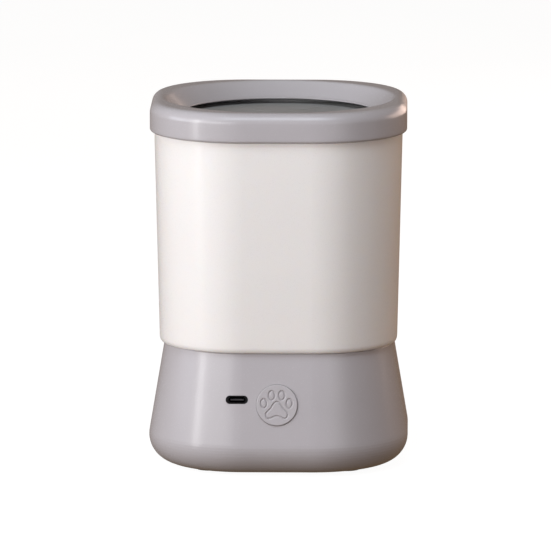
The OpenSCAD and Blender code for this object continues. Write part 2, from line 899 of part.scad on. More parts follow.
// Round funnel: a soft edge into the flat top, then a cone down to the mouth's lip
funnel_cut = concat(
    [[0, top_z + 1], [funnel_top_r + 2, top_z + 1]],
    [for (i = [0:6]) let (a = 90 + funnel_slope * i / 6)
        [funnel_top_r + funnel_edge_r * cos(a), top_z - funnel_edge_r + funnel_edge_r * sin(a)]],
    [[mouth_r + 0.5, lip_top_z], [mouth_r, lip_top_z - 0.4], [mouth_r + 0.2, lip_top_z - lip_t],
     [0, lip_top_z - lip_t]]);
// Hollow under the funnel, wide enough for the guard's rim
under_lip_z = lip_top_z - lip_t;
module under_funnel() {
    difference() {
        translate([0, 0, ring_bottom_z - 1])
            linear_extrude(ring_ceiling_z - ring_bottom_z + 1) squircle(skirt_in);
        rotate_extrude()
            polygon([[mouth_r - 2, under_lip_z], [mouth_r + 2.2, under_lip_z], [mouth_r + 8, ring_ceiling_z],
                [mouth_r + 8, ring_ceiling_z + 1], [mouth_r - 2, ring_ceiling_z + 1]]);
    }
}

module splash_ring() {
    color(soft_grey)
    difference() {
        squircle_loft(ring_outer);
        rotate_extrude() polygon(funnel_cut);
        // channel for the cup's rim
        translate([0, 0, ring_bottom_z - 1])
            linear_extrude(ring_ceiling_z - ring_bottom_z + 1)
                difference() {
                    squircle(ring_inner_half);
                    squircle(skirt_out);
                }
        translate([0, 0, ring_bottom_z - 1])
            linear_extrude(skirt_bottom_z - ring_bottom_z + 1) squircle(ring_inner_half);
        under_funnel();
    }
}

module ring_gasket() {
    color([0.55, 0.55, 0.57])
    translate([0, 0, cup_top_z + 0.3])
        linear_extrude(ring_ceiling_z - cup_top_z - 0.3 - skin)
            difference() {
                squircle(ring_inner_half - skin);
                squircle(skirt_out + 1.1);
            }
}

// ---------------------------------------------------------------- splash guard
petal_apothem = petal_corner_r * cos(180 / petals);
module splash_guard() {
    color(silicone_grey) {
        translate([0, 0, guard_z])
            linear_extrude(guard_t)
                difference() {
                    squircle(guard_half);
                    circle(petal_corner_r, $fn = petals);
                }
        translate([0, 0, guard_z])
            linear_extrude(guard_rim_top_z - guard_z)
                difference() {
                    squircle(guard_half);
                    squircle(guard_half - 1.6);
                }
    }
}

// The petal on the +X side, its hinge edge along Y; its sides stand half a slit
// back from its neighbours', and its outer corners are cut to let it bend
petal_len = petal_apothem - hinge_gap;
function petal_half(x) = x * tan(180 / petals) - slit / 2 / cos(180 / petals);
petal_right = [
    [petal_len, petal_half(petal_len) - slit_notch],
    [petal_len - slit_notch, petal_half(petal_len - slit_notch)],
    [petal_tip_x, petal_half(petal_tip_x)],
];
module petal_blank() {
    translate([petal_len, 0, guard_z])
        rotate([0, petal_tilt, 0])
            translate([-petal_len, 0, 0])
                linear_extrude(guard_t)
                    polygon(concat(petal_right,
                        [for (i = [2:-1:0]) [petal_right[i][0], -petal_right[i][1]]]));
}

module guard_petal(k) {
    color(silicone_grey)
    rotate([0, 0, 180 / petals + 360 * k / petals]) petal_blank();
}
module guard_petal_1() { guard_petal(0); }
module guard_petal_2() { guard_petal(1); }
module guard_petal_3() { guard_petal(2); }
module guard_petal_4() { guard_petal(3); }
module guard_petal_5() { guard_petal(4); }
module guard_petal_6() { guard_petal(5); }

base_shell();
bottom_cover();
rubber_feet();
cover_screws();
battery_cell();
battery_cradle();
battery_tabs();
battery_leads();
main_board();
board_chips();
board_screws();
usb_bezel();
usb_shell();
usb_tongue();
tact_switch();
charge_led();
lead_socket();
motor_can();
motor_end_cap();
motor_magnets();
motor_leads();
gearbox_plate();
gearbox_cover();
gearbox_screws();
motor_screws();
lower_bearing();
upper_bearing();
base_shaft_seal();
idler_pin();
motor_rotor();
motor_pinion();
idler_gear();
output_gear();
output_shaft();
drive_dog();
power_button();
switch_plunger();
cup_body();
spindle_bush();
spindle_seal();
spindle();
driven_dog();
brush_basket();
brush_liner();
hub_cap();
splash_ring();
ring_gasket();
splash_guard();
guard_petal_1();
guard_petal_2();
guard_petal_3();
guard_petal_4();
guard_petal_5();
guard_petal_6();
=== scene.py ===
"""Paw washer cup: looks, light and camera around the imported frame."""
import json
import math

import bpy
import numpy as np
from mathutils import Matrix, Vector


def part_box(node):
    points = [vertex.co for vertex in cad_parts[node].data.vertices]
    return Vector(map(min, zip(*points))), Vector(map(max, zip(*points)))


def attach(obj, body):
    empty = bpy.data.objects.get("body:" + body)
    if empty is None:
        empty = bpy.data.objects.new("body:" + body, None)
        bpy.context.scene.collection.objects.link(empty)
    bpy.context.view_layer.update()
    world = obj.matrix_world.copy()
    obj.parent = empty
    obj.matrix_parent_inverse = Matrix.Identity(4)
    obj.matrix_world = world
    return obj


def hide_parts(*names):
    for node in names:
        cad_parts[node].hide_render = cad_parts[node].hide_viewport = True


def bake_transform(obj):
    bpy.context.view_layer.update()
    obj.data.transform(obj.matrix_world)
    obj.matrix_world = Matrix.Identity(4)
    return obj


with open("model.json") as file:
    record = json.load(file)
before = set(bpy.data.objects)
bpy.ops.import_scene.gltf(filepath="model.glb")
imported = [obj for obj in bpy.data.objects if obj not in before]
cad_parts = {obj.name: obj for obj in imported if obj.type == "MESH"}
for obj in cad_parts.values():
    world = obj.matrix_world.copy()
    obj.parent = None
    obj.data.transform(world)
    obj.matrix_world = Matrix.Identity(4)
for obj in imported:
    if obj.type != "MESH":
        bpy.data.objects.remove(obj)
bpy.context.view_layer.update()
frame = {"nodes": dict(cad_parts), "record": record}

MM = 0.001
DRAFT = math.radians(9.6)  # the base's walls lean in by this, and the board behind the front one too
scene = bpy.context.scene

# ---------------------------------------------------------------- camera
CAMERA_ELEVATION = math.radians(9.5)
CAMERA_TURN = math.radians(1.05)  # from straight ahead towards the right
CAMERA_DISTANCE = 3.9
CAMERA_AIM = Vector((-1.83 * MM, 0, 92.5 * MM))
SENSOR_WIDTH = 36
VIEW_WIDTH = 0.2783  # metres that the picture spans at the aim point


def make_camera():
    data = bpy.data.cameras.new("camera")
    data.sensor_width = SENSOR_WIDTH
    data.lens = SENSOR_WIDTH * CAMERA_DISTANCE / VIEW_WIDTH
    data.clip_end = 100
    camera = bpy.data.objects.new("camera", data)
    scene.collection.objects.link(camera)
    away = Vector((
        math.sin(CAMERA_TURN) * math.cos(CAMERA_ELEVATION),
        -math.cos(CAMERA_TURN) * math.cos(CAMERA_ELEVATION),
        math.sin(CAMERA_ELEVATION),
    ))
    camera.location = CAMERA_AIM + CAMERA_DISTANCE * away
    camera.rotation_euler = (math.pi / 2 - CAMERA_ELEVATION, 0, CAMERA_TURN)
    scene.camera = camera


make_camera()


# ---------------------------------------------------------------- node helpers
class Graph:
    """A material's node tree, with short calls for the nodes used here."""

    def __init__(self, name):
        self.material = bpy.data.materials.new(name)
        self.material.use_nodes = True
        self.tree = self.material.node_tree
        self.shader = self.tree.nodes["Principled BSDF"]
        self.place = self.tree.nodes.new("ShaderNodeTexCoord").outputs["Object"]

    def feed(self, socket, value):
        """Links the socket when value is another node's output, and sets it otherwise."""
        if isinstance(value, bpy.types.NodeSocket):
            self.tree.links.new(value, socket)
        else:
            socket.default_value = value

    def node(self, kind, **inputs):
        n = self.tree.nodes.new("ShaderNode" + kind)
        for key, value in inputs.items():
            self.feed(n.inputs[key.replace("_", " ")], value)
        return n

    def set(self, **inputs):
        """Feeds the shader's own inputs."""
        for key, value in inputs.items():
            self.feed(self.shader.inputs[key.replace("_", " ")], value)

    def noise(self, scale, detail=3.0, stretch=None, roughness=0.5):
        place = self.place
        if stretch:
            place = self.node("Mapping", Vector=place, Scale=stretch).outputs[0]
        n = self.node("TexNoise", Vector=place, Scale=scale, Detail=detail, Roughness=roughness)
        return n.outputs["Fac"]

    def remap(self, value, low, high, src_low=0.3, src_high=0.7):
        n = self.node(
            "MapRange", Value=value,
            From_Min=src_low, From_Max=src_high, To_Min=low, To_Max=high,
        )
        return n.outputs[0]

    def mix(self, factor, a, b):
        """A colour between a and b, each an output or a colour of three numbers."""
        n = self.tree.nodes.new("ShaderNodeMix")
        n.data_type = "RGBA"
        # sockets 0, 6 and 7 are the factor and the two colours, and output 2 is the mixed colour
        self.feed(n.inputs[0], factor)
        for socket, colour in ((n.inputs[6], a), (n.inputs[7], b)):
            if isinstance(colour, bpy.types.NodeSocket):
                self.feed(socket, colour)
            else:
                self.feed(socket, (*colour, 1))
        return n.outputs[2]

    def bump(self, height, depth):
        """A normal from a height between 0 and 1; depth is in millimetres."""
        return self.node("Bump", Height=height, Strength=1.0, Distance=depth * MM).outputs[0]


def shade(colour, factor):
    return tuple(min(1.0, c * factor) for c in colour)


# ---------------------------------------------------------------- kinds of material
def plastic(name, colour, rough, grain=1800.0, depth=0.012, wear=0.02, smear=0.015, gloss=0.5,
            sss=0.0, spread=2.0):
    """Moulded plastic: a fine eroded grain, with faint cloudiness in its colour and gloss."""
    g = Graph(name)
    cloud = g.noise(38.0, 4.0)
    speck = g.noise(grain * 1.7, 2.0)
    tint = g.mix(g.remap(cloud, 0.0, 1.0), shade(colour, 1 - wear), shade(colour, 1 + wear))
    tint = g.mix(g.remap(speck, 0.0, 0.25, 0.55, 0.75), tint, shade(colour, 1 - 1.5 * wear))
    g.set(
        Base_Color=tint,
        Roughness=g.remap(g.noise(grain, 1.0), rough - smear, rough + smear),
        Normal=g.bump(g.noise(grain, 4.0), depth),
        Specular_IOR_Level=gloss,
    )
    if sss:
        g.set(
            Subsurface_Weight=sss,
            Subsurface_Radius=(1.0, 0.75, 0.55),
            Subsurface_Scale=spread * MM,
        )
    return g.material


def soft(name, colour, rough, sss=0.12):
    """Silicone or rubber: matt, slightly translucent, with mould texture and dust-like flecks."""
    g = Graph(name)
    cloud = g.noise(55.0, 4.0)
    fleck = g.noise(2600.0, 1.0)
    tint = g.mix(g.remap(cloud, 0.0, 1.0), shade(colour, 0.95), shade(colour, 1.05))
    tint = g.mix(g.remap(fleck, 0.0, 0.5, 0.66, 0.8), tint, shade(colour, 1.25))
    g.set(
        Base_Color=tint,
        Roughness=g.remap(g.noise(120.0, 4.0), rough - 0.07, rough + 0.07),
        Normal=g.bump(g.noise(950.0, 5.0, roughness=0.65), 0.018),
        Subsurface_Weight=sss,
        Subsurface_Radius=(1.0, 0.9, 0.8),
        Subsurface_Scale=1.2 * MM,
    )
    return g.material


ALONG_Z = (1.0, 1.0, 0.03)  # stretches noise into marks that run up the piece
EVEN = (1, 1, 1)


def metal(name, colour, rough, stretch=ALONG_Z, scale=1500.0, depth=0.006):
    """Metal with machining marks and faint staining."""
    g = Graph(name)
    marks = g.noise(scale, 3.0, stretch=stretch)
    cloud = g.noise(260.0, 4.0)
    g.set(
        Base_Color=g.mix(g.remap(cloud, 0.0, 1.0), shade(colour, 0.88), shade(colour, 1.06)),
        Roughness=g.remap(marks, rough - 0.08, rough + 0.10),
        Normal=g.bump(marks, depth),
        Metallic=1.0,
    )
    return g.material


def board(name, colour, pad_colour=(0.62, 0.50, 0.25)):
    """Solder mask with tracks standing up under it and bare pads."""
    g = Graph(name)
    along_panel = g.node("Mapping", Vector=g.place, Rotation=(DRAFT, 0, 0)).outputs[0]
    grid = g.node("TexBrick", Vector=along_panel, Scale=330.0, Mortar_Size=0.12, Mortar_Smooth=0.3)
    line = grid.outputs["Fac"]
    tint = g.mix(line, shade(colour, 0.8), shade(colour, 1.7))
    tint = g.mix(g.remap(g.noise(500.0, 2.0), 0.0, 1.0, 0.68, 0.7), tint, pad_colour)
    g.set(
        Base_Color=tint,
        Roughness=g.remap(g.noise(300.0), 0.24, 0.36),
        Normal=g.bump(line, 0.03),
    )
    return g.material


def laminated(name, colour):
    """A stack of lacquered sheets with windings between them."""
    g = Graph(name)
    wave = g.node("TexWave", Vector=g.place, Scale=320.0, Distortion=0.4)
    wave.bands_direction = "Z"
    line = wave.outputs["Fac"]
    g.set(
        Base_Color=g.mix(line, shade(colour, 0.6), shade(colour, 1.2)),
        Roughness=g.remap(g.noise(400.0), 0.35, 0.5),
        Normal=g.bump(line, 0.05),
        Metallic=0.8,
    )
    return g.material


def wrap(name, colour):
    """Shrink sleeve with faint lengthwise wrinkles."""
    g = Graph(name)
    crease = g.noise(220.0, 4.0, stretch=(0.15, 1.0, 1.0))
    g.set(
        Base_Color=g.mix(g.remap(crease, 0.0, 1.0), shade(colour, 0.85), shade(colour, 1.15)),
        Roughness=g.remap(g.noise(90.0), 0.22, 0.36),
        Normal=g.bump(crease, 0.10),
    )
    return g.material


# ---------------------------------------------------------------- one material for each slot
# each slot's kind of material, and what sets it apart
LOOKS = {
    "shell_grey": (plastic, dict(colour=(0.450, 0.430, 0.444), rough=0.26, gloss=0.44)),
    "shell_grey_dark": (plastic, dict(
        colour=(0.16, 0.155, 0.16), rough=0.5, grain=900, depth=0.05, wear=0.06)),
    "cup_white": (plastic, dict(
        colour=(0.850, 0.828, 0.805), rough=0.28, grain=2600, depth=0.002, wear=0.004,
        smear=0.008, sss=0.2, spread=3.0)),
    "silicone_grey": (soft, dict(colour=(0.30, 0.302, 0.298), rough=0.55)),
    "basket_grey": (plastic, dict(colour=(0.45, 0.45, 0.45), rough=0.42)),
    "dark_plastic": (plastic, dict(colour=(0.022, 0.022, 0.024), rough=0.46, wear=0.08)),
    "foot_rubber": (soft, dict(colour=(0.014, 0.014, 0.015), rough=0.72, sss=0.0)),
    "seal_rubber": (soft, dict(colour=(0.022, 0.022, 0.024), rough=0.6, sss=0.0)),
    "screw_steel": (metal, dict(colour=(0.55, 0.55, 0.57), rough=0.32)),
    "shaft_steel": (metal, dict(colour=(0.62, 0.62, 0.63), rough=0.22)),
    "motor_steel": (metal, dict(colour=(0.50, 0.50, 0.52), rough=0.30)),
    # painted shade: the port's steel shell is given a near-black colour so that the inside of the port
    # reads as deep shade
    "connector_steel": (metal, dict(colour=(0.006, 0.006, 0.0062), rough=0.5)),
    # painted highlight: the port's tongue is a lighter grey than the black plastic around it, so that its
    # front edge reads as a light line
    "tongue_grey": (plastic, dict(colour=(0.045, 0.045, 0.047), rough=0.4, wear=0.08)),
    "nickel_tab": (metal, dict(colour=(0.58, 0.56, 0.52), rough=0.34)),
    "bush_bronze": (metal, dict(colour=(0.48, 0.30, 0.14), rough=0.45, stretch=EVEN, scale=2200)),
    "pinion_brass": (metal, dict(colour=(0.72, 0.52, 0.22), rough=0.3)),
    "rotor_iron": (laminated, dict(colour=(0.30, 0.20, 0.15))),
    "magnet_black": (metal, dict(
        colour=(0.05, 0.05, 0.052), rough=0.55, stretch=EVEN, scale=900, depth=0.03)),
    "acetal_white": (plastic, dict(colour=(0.72, 0.72, 0.68), rough=0.34, sss=0.1)),
    "board_green": (board, dict(colour=(0.008, 0.075, 0.030))),
    "chip_black": (plastic, dict(colour=(0.012, 0.012, 0.014), rough=0.5, wear=0.1)),
    "port_black": (plastic, dict(
        colour=(0.0025, 0.0025, 0.0027), rough=0.45, wear=0.1, gloss=0.2)),
    "cell_wrap": (wrap, dict(colour=(0.02, 0.085, 0.24))),
    "wire_battery": (soft, dict(colour=(0.30, 0.012, 0.012), rough=0.45, sss=0.0)),
    "wire_motor": (soft, dict(colour=(0.42, 0.30, 0.02), rough=0.45, sss=0.0)),
    "led_lens": (plastic, dict(colour=(0.75, 0.82, 0.85), rough=0.2, sss=0.3)),
}
materials = {name: kind(name, **values) for name, (kind, values) in LOOKS.items()}

for part in frame["record"]["subparts"]:
    cad_node = frame["nodes"][part["node"]]
    cad_node.data.materials.clear()
    cad_node.data.materials.append(materials[part["material_slot"]])


# ---------------------------------------------------------------- mesh helpers, in millimetres
def circle_angles(n):
    return np.linspace(0, 2 * math.pi, n + 1)[:-1]


def between(a, b, t):
    """The loop a share t of the way from loop a to loop b."""
    return [tuple(p + (q - p) * t for p, q in zip(m, n)) for m, n in zip(a, b)]


def arc(cx, cz, r, start, stop, steps):
    """Points (distance, height) along an arc given in degrees."""
    angles = [math.radians(a) for a in np.linspace(start, stop, steps + 1)]
    return [(cx + r * math.cos(a), cz + r * math.sin(a)) for a in angles]


def loft(loops):
    """Vertices and quads through equal loops of points, with the last loop joined to the first."""
    size, count = len(loops[0]), len(loops)
    verts = [p for loop in loops for p in loop]
    faces = []
    for i in range(count):
        a, b = i * size, ((i + 1) % count) * size
        for j in range(size):
            k = (j + 1) % size
            faces.append((a + j, a + k, b + k, b + j))
    return verts, faces


def make(name, verts, faces, slot, body, cad_node, sharp=40):
    """A smooth mesh piece in place of cad_node, attached to body when one is given and left unattached
    otherwise.
    """
    mesh = bpy.data.meshes.new(name)
    mesh.from_pydata([tuple(c * MM for c in v) for v in verts], [], faces)
    mesh.validate()
    mesh.polygons.foreach_set("use_smooth", [True] * len(mesh.polygons))
    mesh.set_sharp_from_angle(angle=math.radians(sharp))
    mesh.materials.append(materials[slot])
    piece = bpy.data.objects.new(name, mesh)
    scene.collection.objects.link(piece)
    if body:
        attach(piece, body)
    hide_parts(cad_node)
    return piece


# ---------------------------------------------------------------- rounded-square plan
CORNER_C = 17.5  # how far out, along both axes, each rounded corner's centre is
ANGLES = circle_angles(336)


def squircle_radius(angle, half):
    """Distance from the centre line to a squircle's outline in one direction."""
    x, y = abs(math.cos(angle)), abs(math.sin(angle))
    corner_r = half - CORNER_C
    if half * y <= CORNER_C * x:
        return half / x
    if half * x <= CORNER_C * y:
        return half / y
    return CORNER_C * (x + y) + math.sqrt(corner_r * corner_r - (CORNER_C * (x - y)) ** 2)


def square_loop(half, z):
    radii = [squircle_radius(a, half) for a in ANGLES]
    return [(r * math.cos(a), r * math.sin(a), z) for r, a in zip(radii, ANGLES)]


def round_loop(r, z):
    return [(r * math.cos(a), r * math.sin(a), z) for a in ANGLES]


# ---------------------------------------------------------------- splash ring
RING_HALF = 64.5
RING_INNER_HALF = 62.75
RING_FOOT_R = 1.3
RING_CEILING = 177.6
CREST_R = 5.3
FUNNEL_R = 59.15  # where the flat top meets the round funnel
FUNNEL_EDGE_R = 3.5
FUNNEL_EDGE_END = 123  # degrees round the edge, where the funnel's straight slope begins
MOUTH_R = 48.5
LIP_TOP = 176.6
LIP_T = 0.9
SKIRT_IN = 57.4  # the skirt stands inside the cup's rim
SKIRT_OUT = 59.0
SKIRT_FOOT = 172.6
SKIRT_EDGE = 0.3


def ring_outside(foot, top):
    """From the foot up the outer wall and over the crest."""
    foot_arc = [(-RING_FOOT_R + RING_FOOT_R * math.cos(a), RING_FOOT_R + RING_FOOT_R * math.sin(a))
                for a in np.linspace(-math.pi / 2, 0, 9)]
    wall = [(0, 2.6), (0, 4.4), (0, 6.6)]
    crest = arc(RING_HALF - CREST_R, top - CREST_R, CREST_R, 0, 90, 22)
    loops = [square_loop(RING_HALF + out, foot + up) for out, up in foot_arc + wall]
    return loops + [square_loop(half, z) for half, z in crest]


def ring_funnel(crest, top):
    """From the crest's last loop across the top, down the funnel and round its lip."""
    edge = arc(FUNNEL_R, top - FUNNEL_EDGE_R, FUNNEL_EDGE_R, 90, FUNNEL_EDGE_END, 7)
    (r0, z0), (r1, z1) = edge[-1], (MOUTH_R + 0.6, LIP_TOP)
    slope = [(r0 + (r1 - r0) * t, z0 + (z1 - z0) * t) for t in np.linspace(0, 1, 13)[1:]]
    under_lip = LIP_TOP - LIP_T
    lip = [
        (MOUTH_R + 0.3, LIP_TOP - 0.1),
        (MOUTH_R + 0.08, LIP_TOP - 0.25),
        (MOUTH_R, LIP_TOP - 0.45),
        (MOUTH_R + 0.1, under_lip + 0.14),
        (MOUTH_R + 0.4, under_lip),
        (MOUTH_R + 2.2, under_lip),
        (MOUTH_R + 8, RING_CEILING),
    ]
    loops = [between(crest, round_loop(FUNNEL_R, top), t) for t in (0.25, 0.5, 0.75)]
    return loops + [round_loop(r, z) for r, z in edge + slope + lip]


def ring_underside(foot):
    """Down and up round the skirt, and down the outer wall's inside to the foot."""
    profile = [
        (SKIRT_IN, RING_CEILING),
        (SKIRT_IN, SKIRT_FOOT + SKIRT_EDGE),
        (SKIRT_IN + SKIRT_EDGE, SKIRT_FOOT),
        (SKIRT_OUT - SKIRT_EDGE, SKIRT_FOOT),
        (SKIRT_OUT, SKIRT_FOOT + SKIRT_EDGE),
        (SKIRT_OUT, RING_CEILING),
        (RING_INNER_HALF, RING_CEILING),
        (RING_INNER_HALF, foot + 0.15),
        (RING_INNER_HALF + 0.15, foot),
    ]
    return [square_loop(half, z) for half, z in profile]


def make_splash_ring():
    low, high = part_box("splash_ring")
    foot, top = low.z / MM, high.z / MM
    outside = ring_outside(foot, top)
    loops = outside + ring_funnel(outside[-1], top) + ring_underside(foot)
    verts, faces = loft(loops)
    make("splash_ring_moulding", verts, faces, "shell_grey", "ring", "splash_ring", sharp=32)


# ---------------------------------------------------------------- splash guard
PETALS = 6
HALF_PETAL = math.pi / PETALS
GUARD_TOP = 173.2
GUARD_T = 1.2
GUARD_HALF = 57.3
GUARD_WALL = 1.6
GUARD_RIM_TOP = 176.5
GUARD_EDGE = 0.3
WEB_R = 51  # where the petals' skins meet the rim's web
SLIT_END = 48  # how far out the slits reach
SLIT_HALF = 0.2
SLIT_FADE = 1.5
APOTHEM = SLIT_END * math.cos(HALF_PETAL)
PETAL_TIP = 2.3
PETAL_EDGE_R = 0.32
PETAL_RISE = math.tan(math.radians(2.8))
RISE_EASE = 6  # the rise sets in over this distance from the hinge line
PETAL_THINNING = 0.3
THINNING_LEN = 38


def make_guard_rim():
    low, top = GUARD_TOP - GUARD_T, GUARD_RIM_TOP
    inside = GUARD_HALF - GUARD_WALL
    wall = [
        (GUARD_HALF - GUARD_EDGE, low),
        (GUARD_HALF, low + GUARD_EDGE),
        (GUARD_HALF, top - GUARD_EDGE),
        (GUARD_HALF - GUARD_EDGE, top),
        (inside + GUARD_EDGE, top),
        (inside, top - GUARD_EDGE),
        (inside, GUARD_TOP + 0.5),
        (inside - 0.15, GUARD_TOP + 0.15),
        (inside - 0.5, GUARD_TOP),
    ]
    loops = [round_loop(WEB_R, low)]
    loops += [square_loop(half, z) for half, z in wall]
    loops += [round_loop(WEB_R, GUARD_TOP)]
    verts, faces = loft(loops)
    make("guard_rim", verts, faces, "silicone_grey", "ring", "splash_guard")


def petal_point(rho, across, top, turn):
    """A point of one petal's skin: rho out from the centre line, across from -1 to 1 between its slits."""
    phi = across * HALF_PETAL
    x, y = rho * math.cos(phi), rho * math.sin(phi)
    slit_here = SLIT_HALF * min(1, max(0, (SLIT_END - rho) / SLIT_FADE))
    y *= 1 - slit_here / math.cos(HALF_PETAL) / (rho * math.sin(HALF_PETAL))
    inward = max(0.0, APOTHEM - x)
    surface = GUARD_TOP + inward * PETAL_RISE * min(1, inward / RISE_EASE)
    thick = GUARD_T - PETAL_THINNING * min(1, inward / THINNING_LEN)
    to_edge = min((1 - abs(across)) * rho * math.sin(HALF_PETAL), rho - PETAL_TIP)
    round_off = 0.0
    if to_edge < PETAL_EDGE_R and rho < SLIT_END:
        rest = max(0.0, PETAL_EDGE_R ** 2 - (PETAL_EDGE_R - to_edge) ** 2)
        round_off = PETAL_EDGE_R - math.sqrt(rest)
    z = surface - round_off if top else surface - thick + round_off
    cos_t, sin_t = math.cos(turn), math.sin(turn)
    return (x * cos_t - y * sin_t, x * sin_t + y * cos_t, z)


def plate_faces(rows, columns):
    """Quads of a plate whose top grid of vertices comes first and whose bottom grid follows."""
    low = rows * columns
    faces = []
    for i in range(rows - 1):
        first, last = i * columns, (i + 1) * columns - 1
        for a in range(first, last):
            faces.append((a, a + columns, a + columns + 1, a + 1))
            faces.append((low + a, low + a + 1, low + a + columns + 1, low + a + columns))
        faces.append((first, low + first, low + first + columns, first + columns))
        faces.append((last, last + columns, low + last + columns, low + last))
    outer = (rows - 1) * columns
    for j in range(columns - 1):
        k = outer + j
        faces.append((j, j + 1, low + j + 1, low + j))
        faces.append((k, low + k, low + k + 1, k + 1))
    return faces


def make_petal(k):
    """One petal, from its tip out to an arc under the ring's lip, with rounded edges along the slits."""
    turn = HALF_PETAL + 2 * HALF_PETAL * k
    near_edge = [0.97, 0.985, 0.995]
    across = np.unique(np.concatenate([np.linspace(-1, 1, 15), near_edge, np.negative(near_edge)]))
    near_tip = [PETAL_TIP, 2.45, 2.7, 3.1]
    near_rim = [47, SLIT_END, 49.5, WEB_R]
    reach = np.concatenate([near_tip, np.linspace(4, 46, 43), near_rim])
    verts = [petal_point(rho, v, top, turn) for top in (True, False) for rho in reach for v in across]
    faces = plate_faces(len(reach), len(across))
    piece = make(f"guard_petal_skin_{k + 1}", verts, faces, "silicone_grey", None,
                 f"guard_petal_{k + 1}", sharp=60)
    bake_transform(piece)


# ---------------------------------------------------------------- brush liner
LINER_R = 49.0
SLEEVE_R = 50.5
LIP_R = 52.5
LINER_EDGE_R = 0.6
BRISTLE_ROWS = 6
BRISTLES_PER_ROW = 20
LOWEST_ROW = 92
ROW_PITCH = 11
BRISTLE_SIDES = 14
# distance from the sleeve and radius there, from the root to the tip
BRISTLE = [
    (0.0, 3.0), (0.35, 2.35), (0.9, 1.95), (1.6, 1.82), (6.0, 1.5), (10.0, 1.22),
    (12.2, 1.08), (12.8, 0.98), (13.2, 0.74), (13.42, 0.4), (13.48, 0.0),
]


def sleeve_loops(low, top):
    edge_z = top - LINER_EDGE_R
    profile = [(SLEEVE_R, low), (LINER_R + 0.4, low), (LINER_R, low + 0.4), (LINER_R, 120)]
    profile += arc(LINER_R + LINER_EDGE_R, edge_z, LINER_EDGE_R, 180, 90, 4)
    profile += arc(LIP_R - LINER_EDGE_R, edge_z, LINER_EDGE_R, 90, 0, 4)
    profile += [(LIP_R, top - 1.0), (LIP_R - 0.4, top - 1.4), (SLEEVE_R, top - 1.4)]
    return [[(r * math.cos(a), r * math.sin(a), z) for a in circle_angles(180)] for r, z in profile]


def add_bristle(verts, faces, angle, z):
    """Adds one bristle that points to the centre line; its root follows the sleeve's curve."""
    out = np.array((math.cos(angle), math.sin(angle), 0))
    side = np.array((-math.sin(angle), math.cos(angle), 0))
    first = len(verts)
    for step, (along, r) in enumerate(BRISTLE[:-1]):
        for s in range(BRISTLE_SIDES):
            t = 2 * math.pi * s / BRISTLE_SIDES
            sink = r * r * math.cos(t) ** 2 / (2 * LINER_R) if step == 0 else 0.0
            up = np.array((0, 0, z + r * math.sin(t)))
            verts.append(tuple(out * (LINER_R + 0.05 - along - sink) + side * (r * math.cos(t)) + up))
    tip = len(verts)
    verts.append(tuple(out * (LINER_R - BRISTLE[-1][0]) + np.array((0, 0, z))))
    last = tip - BRISTLE_SIDES
    for start in range(first, last, BRISTLE_SIDES):
        for s in range(BRISTLE_SIDES):
            a, b = start + s, start + (s + 1) % BRISTLE_SIDES
            faces.append((a, a + BRISTLE_SIDES, b + BRISTLE_SIDES, b))
    faces += [(last + s, tip, last + (s + 1) % BRISTLE_SIDES) for s in range(BRISTLE_SIDES)]


def make_liner():
    low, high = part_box("brush_liner")
    verts, faces = loft(sleeve_loops(low.z / MM, high.z / MM))
    for row in range(BRISTLE_ROWS):
        stagger = (row % 2) / 2
        for k in range(BRISTLES_PER_ROW):
            angle = 2 * math.pi * (k + stagger) / BRISTLES_PER_ROW
            add_bristle(verts, faces, angle, LOWEST_ROW + ROW_PITCH * row)
    make("brush_liner_moulding", verts, faces, "silicone_grey", "brush", "brush_liner", sharp=50)


# ---------------------------------------------------------------- power button
FOOT_ARC_R = 13.5  # the rounded foot that the base's front wall rises from
FOOT_ARC_C = 51.7
FOOT_ARC_Z = 15.0
BUTTON_Z = 37.3
BUTTON_R = 10.3
BUTTON_EDGE_R = 0.45
BUTTON_SEGMENTS = 264
PROUD = 0.8
FLANGE_R = 12.05
FLANGE_TOP = -2.45
FLANGE_FOOT = -3.7
STEM_R = 2.2
STEM_FOOT = -6.2
GROOVE_W = 0.6
GROOVE_DEPTH = 0.6
# the right half of the pad's outline, from its top down
PAD_HALF = [(0, 2), (1.3, 1.4), (2.4, 0), (3.4, -1.6), (4.8, -2.9), (5.7, -4.3),
            (5.5, -6), (4.4, -7), (2.9, -6.8), (1.5, -6.1), (0, -5.8)]
# each toe's place across and up, and its lean in degrees
TOES = [(-6.5, 0.8, 6), (-2.6, 4.8, 2), (2.4, 4.8, -2), (6.2, 0.8, -6)]
TOE_HALF_WIDTH = 1.75
TOE_HALF_LENGTH = 2.5


def panel_matrix():
    """Takes the button's own frame, with z out of the panel, to its place on the front wall."""
    rise = BUTTON_Z - FOOT_ARC_Z - FOOT_ARC_R * math.sin(DRAFT)
    reach = FOOT_ARC_C + FOOT_ARC_R * math.cos(DRAFT) - math.tan(DRAFT) * rise
    return Matrix.Translation((0, -reach, BUTTON_Z)) @ Matrix.Rotation(math.pi / 2 - DRAFT, 4, "X")


def closed_curve(points, steps):
    """A smooth closed curve through the points, with a number of steps between each two."""
    p = [np.array(q, float) for q in points]
    count = len(p)
    out = []
    for i in range(count):
        a, b, c, d = p[i - 1], p[i], p[(i + 1) % count], p[(i + 2) % count]
        for t in np.linspace(0, 1, steps + 1)[:-1]:
            square = (2 * a - 5 * b + 4 * c - d) * t * t
            cube = (3 * b - a - 3 * c + d) * t ** 3
            out.append(0.5 * (2 * b + (c - a) * t + square + cube))
    return np.array(out)


def toe_line(x, y, lean):
    t, a = math.radians(lean), circle_angles(120)
    across = (TOE_HALF_WIDTH - GROOVE_W / 2) * np.cos(a)
    along = (TOE_HALF_LENGTH - GROOVE_W / 2) * np.sin(a)
    return np.stack([
        x + across * math.cos(t) - along * math.sin(t),
        y + across * math.sin(t) + along * math.cos(t),
    ], 1)


